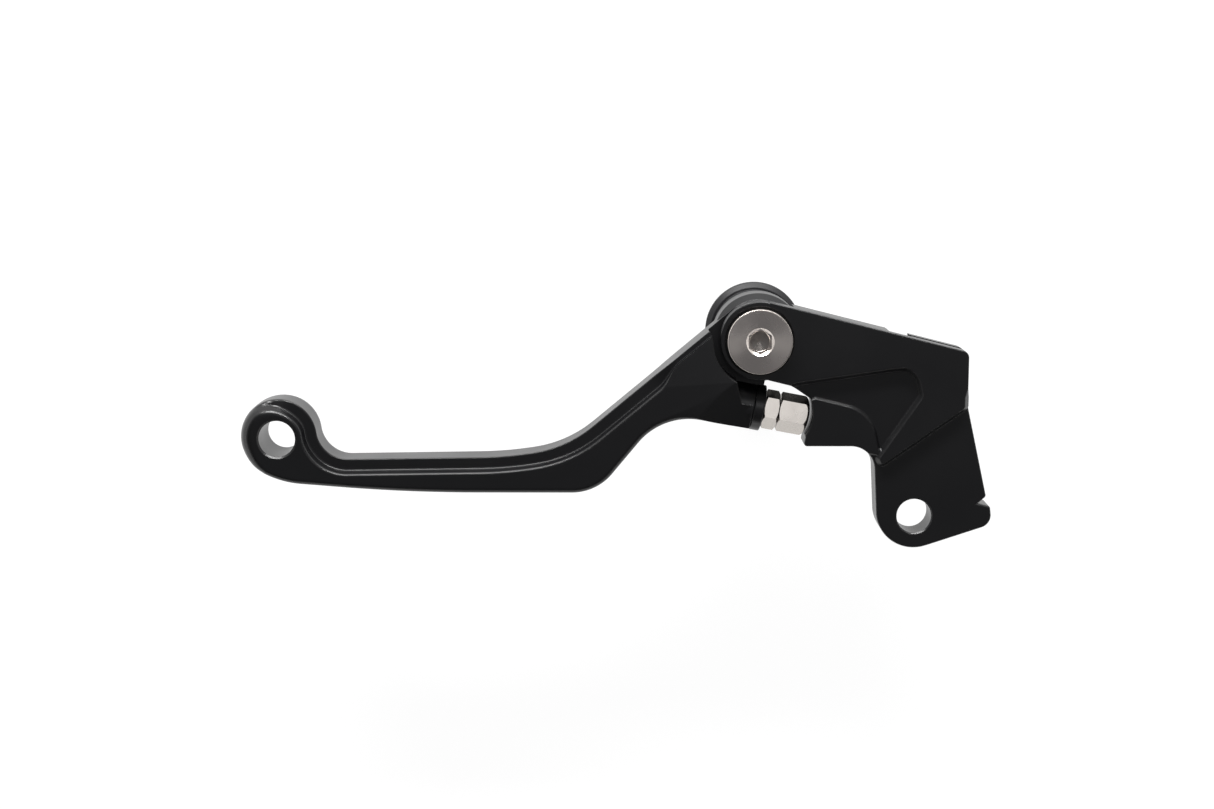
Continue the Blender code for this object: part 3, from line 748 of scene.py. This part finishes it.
def base(black):
    """The arm: plate, band and block, each with every bore and cut."""
    radius, depth = COUNTERBORE
    counterbore = flared_profile(radius, BAND_Z - depth, BAND_Z, 0.12)
    parts = []
    for outline in (plate_outline(), band_outline(), block_outline()):
        part = add("part", section_solid("part", outline))
        parts.append(shaped(part, [
            ("DIFFERENCE", rod("hub_pocket", [(HUB_POCKET_R, BELOW), (HUB_POCKET_R, EAR_BOTTOM)]), AT_PIVOT),
            ("DIFFERENCE", rod("bolt_bore", [(BOLT_BORE_R, -3), (BOLT_BORE_R, 9)]), AT_PIVOT),
            ("DIFFERENCE", rod("counterbore", counterbore), AT_PIVOT),
            ("DIFFERENCE", rod("perch_bore", bore_profile(PERCH_BORE_R, PLATE_Z, 0.3)), None),
            ("DIFFERENCE", cable_slot(), None),
            ("DIFFERENCE", nipple_pocket(), None),
        ]))
    obj = joined("base_forging", parts)
    return finished(obj, black, "base", "lever_base")


# ---------------------------------------------------------------- pivot hardware


def pivot_bolt(steel):
    """A low head with a socket, a shank down to the cap's floor and a thread below it."""
    under_head = BAND_Z - COUNTERBORE[1] + GAP
    top = under_head + BOLT_HEAD_T
    shank_end = CAP_FLOOR + GAP
    shank = [
        (BOLT_THREAD_R - 0.15, CAP_BOTTOM + 1.5), (BOLT_THREAD_R - 0.15, shank_end),
        (BOLT_SHANK_R, shank_end), (BOLT_SHANK_R, under_head),
        (BOLT_HEAD_R, under_head), (BOLT_HEAD_R, top), (1.0, top),
    ]
    obj = add("pivot_bolt_turned", rod("pivot_bolt_turned", eased(shank, 0.45, 5)), AT_PIVOT)
    half = BOLT_SOCKET_AF / 2
    floor_z = top - BOLT_SOCKET_DEPTH
    thread = threaded("thread", BOLT_THREAD_R, BOLT_PITCH, CAP_BOTTOM - BOLT_TAIL, CAP_BOTTOM + 2)
    dimple = [(0.05, floor_z - 0.9), (half - 0.35, floor_z - 0.1), (half - 0.2, floor_z + 0.02)]
    countersink = [(half - 0.1, top - 0.6), (half + 0.6, top), (half + 1.3, top + 0.6)]
    shaped(obj, [
        ("UNION", thread, AT_PIVOT),
        ("DIFFERENCE", hexagon("socket", BOLT_SOCKET_AF, floor_z, top + 2, 30), AT_PIVOT),
        ("DIFFERENCE", rod("countersink", countersink), AT_PIVOT),
        ("DIFFERENCE", rod("dimple", dimple), AT_PIVOT),
    ])
    return finished(obj, steel, "base", "pivot_bolt")


def ring(name, node_name, outer, low, high, material):
    """A flat ring round the bolt's thread."""
    inner = BOLT_THREAD_R + GAP
    profile = eased([(inner, low), (outer, low), (outer, high), (inner, high)], RING_EDGE, shut=True)
    obj = add(name, turned(name, profile), AT_PIVOT)
    return finished(obj, material, "base", node_name)


def nut_washer(steel):
    """In the cap's recess, above the nut."""
    radius, thickness = NUT_WASHER
    high = NUT_WASHER_LOW + thickness
    return ring("nut_washer_flat", "nut_washer", radius, NUT_WASHER_LOW, high, steel)


def nut_locking_ring(nylon):
    """Below the nut."""
    radius, thickness = NUT_RING
    high = NUT_WASHER_LOW - PIVOT_NUT_T - 2 * GAP
    return ring("nut_ring_nylon", "nut_locking_ring", radius, high - thickness, high, nylon)


def spring_cap(black):
    """A cup over the spring, with a flange that has a recess for the washer."""
    inner, outer = CAP_CUP_R
    recess_r, recess_depth = NUT_RECESS
    flange = CAP_FLANGE_R
    bore = BOLT_THREAD_R + GAP
    profile = eased([
        (bore, CAP_BOTTOM + recess_depth), (recess_r, CAP_BOTTOM + recess_depth), (recess_r, CAP_BOTTOM),
        (flange, CAP_BOTTOM), (flange, CAP_SHOULDER - CAP_CHAMFER), (flange - CAP_CHAMFER, CAP_SHOULDER),
        (outer, CAP_SHOULDER), (outer, CAP_TOP), (inner, CAP_TOP), (inner, CAP_FLOOR), (bore, CAP_FLOOR),
    ], EASE_R, 4, shut=True)
    obj = add("spring_cap_turned", turned("spring_cap_turned", profile), AT_PIVOT)
    shaped(obj, [leg_hole(270, CAP_FLOOR - LEG_DEPTHS[1], CAP_FLOOR + 1)])
    return finished(obj, black, "base", "spring_cap")


def pivot_nut(steel):
    """On the bolt's thread, with a flare into its bore from below."""
    top = NUT_WASHER_LOW - GAP
    low = top - PIVOT_NUT_T
    obj = add("pivot_nut_hex", hexagon("pivot_nut_hex", PIVOT_NUT_AF, low, top), AT_PIVOT)
    cone = hex_chamfers(PIVOT_NUT_AF, low, top, (0.9, 0.5), (0.5, 0.3))
    flare = [(4.2, low - 0.5), (BOLT_THREAD_R + GAP, low + 0.5), (BOLT_THREAD_R + GAP, top + 1)]
    shaped(obj, [
        ("INTERSECT", rod("cone", cone), AT_PIVOT),
        ("DIFFERENCE", rod("bore", flare), AT_PIVOT),
    ])
    return finished(obj, steel, "base", "pivot_nut")


# ---------------------------------------------------------------- adjuster


def lock_nut(steel):
    """On the screw, against the blade's collar."""
    low = COLLAR_U[1] + GAP
    high = low + NUT_LEN
    obj = add("lock_nut_hex", hexagon("lock_nut_hex", HEX_AF, low, high, HEX_TURN), ON_ADJUSTER)
    cone = hex_chamfers(HEX_AF, low, high, HEX_CHAMFER, HEX_CHAMFER)
    shaped(obj, [
        ("INTERSECT", rod("cone", cone), ON_ADJUSTER),
        ("DIFFERENCE", rod("bore", [(SCREW_R + GAP, low - 2), (SCREW_R + GAP, high + 2)]), ON_ADJUSTER),
    ])
    return finished(obj, steel, "blade", "adjuster_lock_nut")


def adjuster(steel):
    """A hexagon head with a dome that bears on the base, and its threaded screw."""
    low = COLLAR_U[1] + NUT_LEN + 2 * GAP
    shoulder = HEAD_TIP_U - HEAD_DOME
    corner = HEX_AF / math.sqrt(3)
    mesh = hexagon("adjuster_bolt_hex", HEX_AF, low, HEAD_TIP_U, HEX_TURN)
    obj = add("adjuster_bolt_hex", mesh, ON_ADJUSTER)
    slopes = [math.radians(84 * i / 24) for i in range(25)]
    dome = [(corner * math.cos(a), shoulder + HEAD_DOME * math.sin(a)) for a in slopes]
    chamfer = hex_chamfers(HEX_AF, low, HEAD_TIP_U, HEX_CHAMFER, HEX_CHAMFER)[:2]
    shaped(obj, [
        ("INTERSECT", rod("head", [*chamfer, *dome, (0.2, HEAD_TIP_U - 0.005)]), ON_ADJUSTER),
        ("UNION", threaded("screw", SCREW_R, SCREW_PITCH, low - SCREW_LEN, low + 1), ON_ADJUSTER),
    ])
    return finished(obj, steel, "adjuster", "adjuster_bolt")


# ---------------------------------------------------------------- materials


def new_material(name, colour, metallic, roughness):
    """A material and its shader, with those three values set."""
    made = bpy.data.materials.new(name)
    made.use_nodes = True
    shader = made.node_tree.nodes["Principled BSDF"]
    shader.inputs["Base Color"].default_value = (*colour, 1)
    shader.inputs["Metallic"].default_value = metallic
    shader.inputs["Roughness"].default_value = roughness
    return made, shader


def node(made, kind, **values):
    """Adds a node and sets its inputs by name or number; a pair (node, output) is linked."""
    one = made.node_tree.nodes.new(kind)
    for key, value in values.items():
        if hasattr(one, key) and key not in one.inputs:
            setattr(one, key, value)
            continue
        numbered = key.startswith("in") and key[2:].isdigit()
        socket = one.inputs[int(key[2:]) if numbered else key.replace("_", " ")]
        if isinstance(value, tuple) and len(value) == 2 and hasattr(value[0], "outputs"):
            made.node_tree.links.new(value[0].outputs[value[1]], socket)
        else:
            socket.default_value = value
    return one


def grain(made, scale, detail=2.0):
    """Noise in the piece's own space."""
    place = node(made, "ShaderNodeTexCoord")
    return node(made, "ShaderNodeTexNoise", Vector=(place, "Object"), Scale=scale, Detail=detail)


def varied(made, shader, source, low, high):
    """Spreads the roughness between two values by a noise, whose middle range is what counts."""
    spread = node(made, "ShaderNodeMapRange", Value=(source, 0), To_Min=low, To_Max=high)
    spread.inputs["From Min"].default_value = 0.3
    spread.inputs["From Max"].default_value = 0.7
    made.node_tree.links.new(spread.outputs[0], shader.inputs["Roughness"])


def anodised(name, colour, roughness):
    """Black anodised aluminium: a blasted grain, patches of slightly different sheen, softened edges."""
    made, shader = new_material(name, colour, 0.0, roughness)
    shader.inputs["IOR"].default_value = 1.42
    fine = grain(made, 9000, 1.0)
    wide = grain(made, 60, 2.0)
    varied(made, shader, wide, roughness - 0.03, roughness + 0.04)
    edge = node(made, "ShaderNodeBevel", samples=4, Radius=SOFT_EDGE * MM)
    bump = node(made, "ShaderNodeBump", Strength=0.12, Distance=0.00003, Height=(fine, 0), Normal=(edge, 0))
    made.node_tree.links.new(bump.outputs[0], shader.inputs["Normal"])
    return made


def turned_metal(name, colour, roughness, groove, metallic=1.0, anisotropic=0.0):
    """Metal off a lathe: fine rings round the piece's own Z axis, and a little variation in its sheen."""
    made, shader = new_material(name, colour, metallic, roughness)
    shader.inputs["Anisotropic"].default_value = anisotropic
    shader.inputs["IOR"].default_value = 1.4
    place = node(made, "ShaderNodeTexCoord")
    flat = node(made, "ShaderNodeVectorMath", operation="MULTIPLY", in0=(place, "Object"), in1=(1, 1, 0))
    span = node(made, "ShaderNodeVectorMath", operation="LENGTH", in0=(flat, 0))
    rings = node(made, "ShaderNodeTexNoise", noise_dimensions="1D", W=(span, "Value"), Scale=9000, Detail=3.0)
    wide = grain(made, 150, 2.0)
    varied(made, shader, wide, roughness - 0.04, roughness + 0.05)
    bump = node(made, "ShaderNodeBump", Strength=groove, Distance=0.00002, Height=(rings, 0))
    made.node_tree.links.new(bump.outputs[0], shader.inputs["Normal"])
    if anisotropic:
        around = node(made, "ShaderNodeTangent", direction_type="RADIAL", axis="Z")
        made.node_tree.links.new(around.outputs[0], shader.inputs["Tangent"])
    return made


def plain(name, colour, metallic, roughness, scale, depth):
    """Rubber, plastic, bronze or wire: an even grain with a little variation."""
    made, shader = new_material(name, colour, metallic, roughness)
    fine = grain(made, scale, 2.0)
    varied(made, shader, fine, roughness - 0.05, roughness + 0.06)
    bump = node(made, "ShaderNodeBump", Strength=0.2, Distance=depth, Height=(fine, 0))
    made.node_tree.links.new(bump.outputs[0], shader.inputs["Normal"])
    return made


# ---------------------------------------------------------------- studio


def camera():
    """Almost straight down the pivots."""
    data = bpy.data.cameras.new("camera")
    data.sensor_width = SENSOR
    data.lens = LENS
    obj = bpy.data.objects.new("camera", data)
    ahead = Vector(CAMERA_AHEAD).normalized()
    side = ahead.cross(Vector((0, 1, 0))).normalized()
    up = side.cross(ahead)
    turn = Matrix((side, up, -ahead)).transposed().to_4x4()
    obj.matrix_world = Matrix.Translation(Vector(CAMERA_AT) * MM) @ turn
    data.clip_start = CLIP_START
    bpy.context.scene.collection.objects.link(obj)
    bpy.context.scene.camera = obj


def floor():
    """A floor just under the lever, made pale by its own glow: a wide pool of painted light that fades
    outward.
    """
    low = CAP_BOTTOM - FLOOR_GAP
    mesh = bpy.data.meshes.new("floor")
    corners = [(x * FLOOR_SIDE, y * FLOOR_SIDE, low) for x, y in ((-1, -1), (1, -1), (1, 1), (-1, 1))]
    mesh.from_pydata([Vector(p) * MM for p in corners], [], [(0, 1, 2, 3)])
    obj = add("floor", mesh)
    made, shader = new_material("floor_pale", (0.15, 0.15, 0.15), 0.0, 0.9)
    place = node(made, "ShaderNodeTexCoord")
    shift = node(made, "ShaderNodeVectorMath", operation="ADD", in0=(place, "Object"), in1=POOL_SHIFT)
    away = node(made, "ShaderNodeVectorMath", operation="LENGTH", in0=(shift, 0))
    # Painted light: the floor's emission strength falls off with distance, a glowing pool and not lamp light.
    pool = node(made, "ShaderNodeMapRange", interpolation_type="SMOOTHSTEP", Value=(away, "Value"))
    for key, value in POOL.items():
        pool.inputs[key].default_value = value
    shader.inputs["Emission Color"].default_value = (1, 1, 1, 1)
    made.node_tree.links.new(pool.outputs[0], shader.inputs["Emission Strength"])
    mesh.materials.append(made)


def lamp(name, place, aim, size, radiance):
    """A soft box of that radiance."""
    data = bpy.data.lights.new(name, "AREA")
    data.shape = "RECTANGLE"
    data.size, data.size_y = size
    data.energy = radiance * math.pi * size[0] * size[1]
    obj = bpy.data.objects.new(name, data)
    ahead = (Vector(aim) - Vector(place)).normalized()
    obj.matrix_world = Matrix.Translation(Vector(place)) @ ahead.to_track_quat("-Z", "Y").to_matrix().to_4x4()
    bpy.context.scene.collection.objects.link(obj)


def studio():
    """Grey overhead, dark around it and bright at the horizon, with the floor and two soft boxes.

    The low box lights the crests from the forward side, and the high one is the key light.
    """
    world = bpy.data.worlds.new("studio")
    bpy.context.scene.world = world
    world.use_nodes = True
    tree = world.node_tree
    place = tree.nodes.new("ShaderNodeTexCoord")
    split = tree.nodes.new("ShaderNodeSeparateXYZ")
    ramp = tree.nodes.new("ShaderNodeValToRGB")
    stops = ramp.color_ramp.elements
    stops[0].position, stops[0].color = SKY_LOW
    stops[1].position, stops[1].color = SKY_HIGH
    for height, grey in SKY:
        stops.new(height).color = (grey, grey, grey, 1)
    tree.links.new(place.outputs["Generated"], split.inputs[0])
    tree.links.new(split.outputs["Z"], ramp.inputs[0])
    tree.links.new(ramp.outputs[0], tree.nodes["Background"].inputs["Color"])
    for settings in LAMPS:
        lamp(*settings)
    floor()
    bpy.context.scene.view_settings.view_transform = "Standard"


# ---------------------------------------------------------------- assembly


def main():
    """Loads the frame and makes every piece."""
    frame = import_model()
    camera()
    studio()

    black = anodised("black_anodised_skin", (0.004, 0.004, 0.0045), 0.32)
    cap_black = turned_metal("cap_black_turned", (0.004, 0.004, 0.005), 0.5, groove=0.3, metallic=0.0)
    stainless = turned_metal("stainless_turned", (0.50, 0.46, 0.43), 0.28, groove=0.35, anisotropic=0.6)
    hex_steel = turned_metal("stainless_drawn", (0.50, 0.47, 0.44), 0.25, groove=0.15)
    bronze = plain("bronze_sintered", (0.42, 0.27, 0.12), 1.0, 0.42, 4000, 0.00003)
    wire = plain("spring_wire", (0.16, 0.16, 0.17), 1.0, 0.35, 6000, 0.00001)
    rubber = plain("seal_rubber_skin", (0.012, 0.012, 0.012), 0.0, 0.6, 5000, 0.00002)
    nylon = plain("nylon_skin", (0.03, 0.07, 0.22), 0.0, 0.45, 3000, 0.00002)

    base(black)
    blade(black)
    pivot_bolt(stainless)
    spring_cap(cap_black)
    pivot_nut(hex_steel)
    lock_nut(hex_steel)
    adjuster(hex_steel)
    nut_washer(hex_steel)
    nut_locking_ring(nylon)

    kept = {
        "pivot_bush": bronze,
        "front_thrust_washer": bronze,
        "rear_thrust_washer": bronze,
        "front_dust_seal": rubber,
        "return_spring": wire,
    }
    for name, made in kept.items():
        frame["nodes"][name].data.materials.clear()
        frame["nodes"][name].data.materials.append(made)

    bpy.context.view_layer.update()


main()
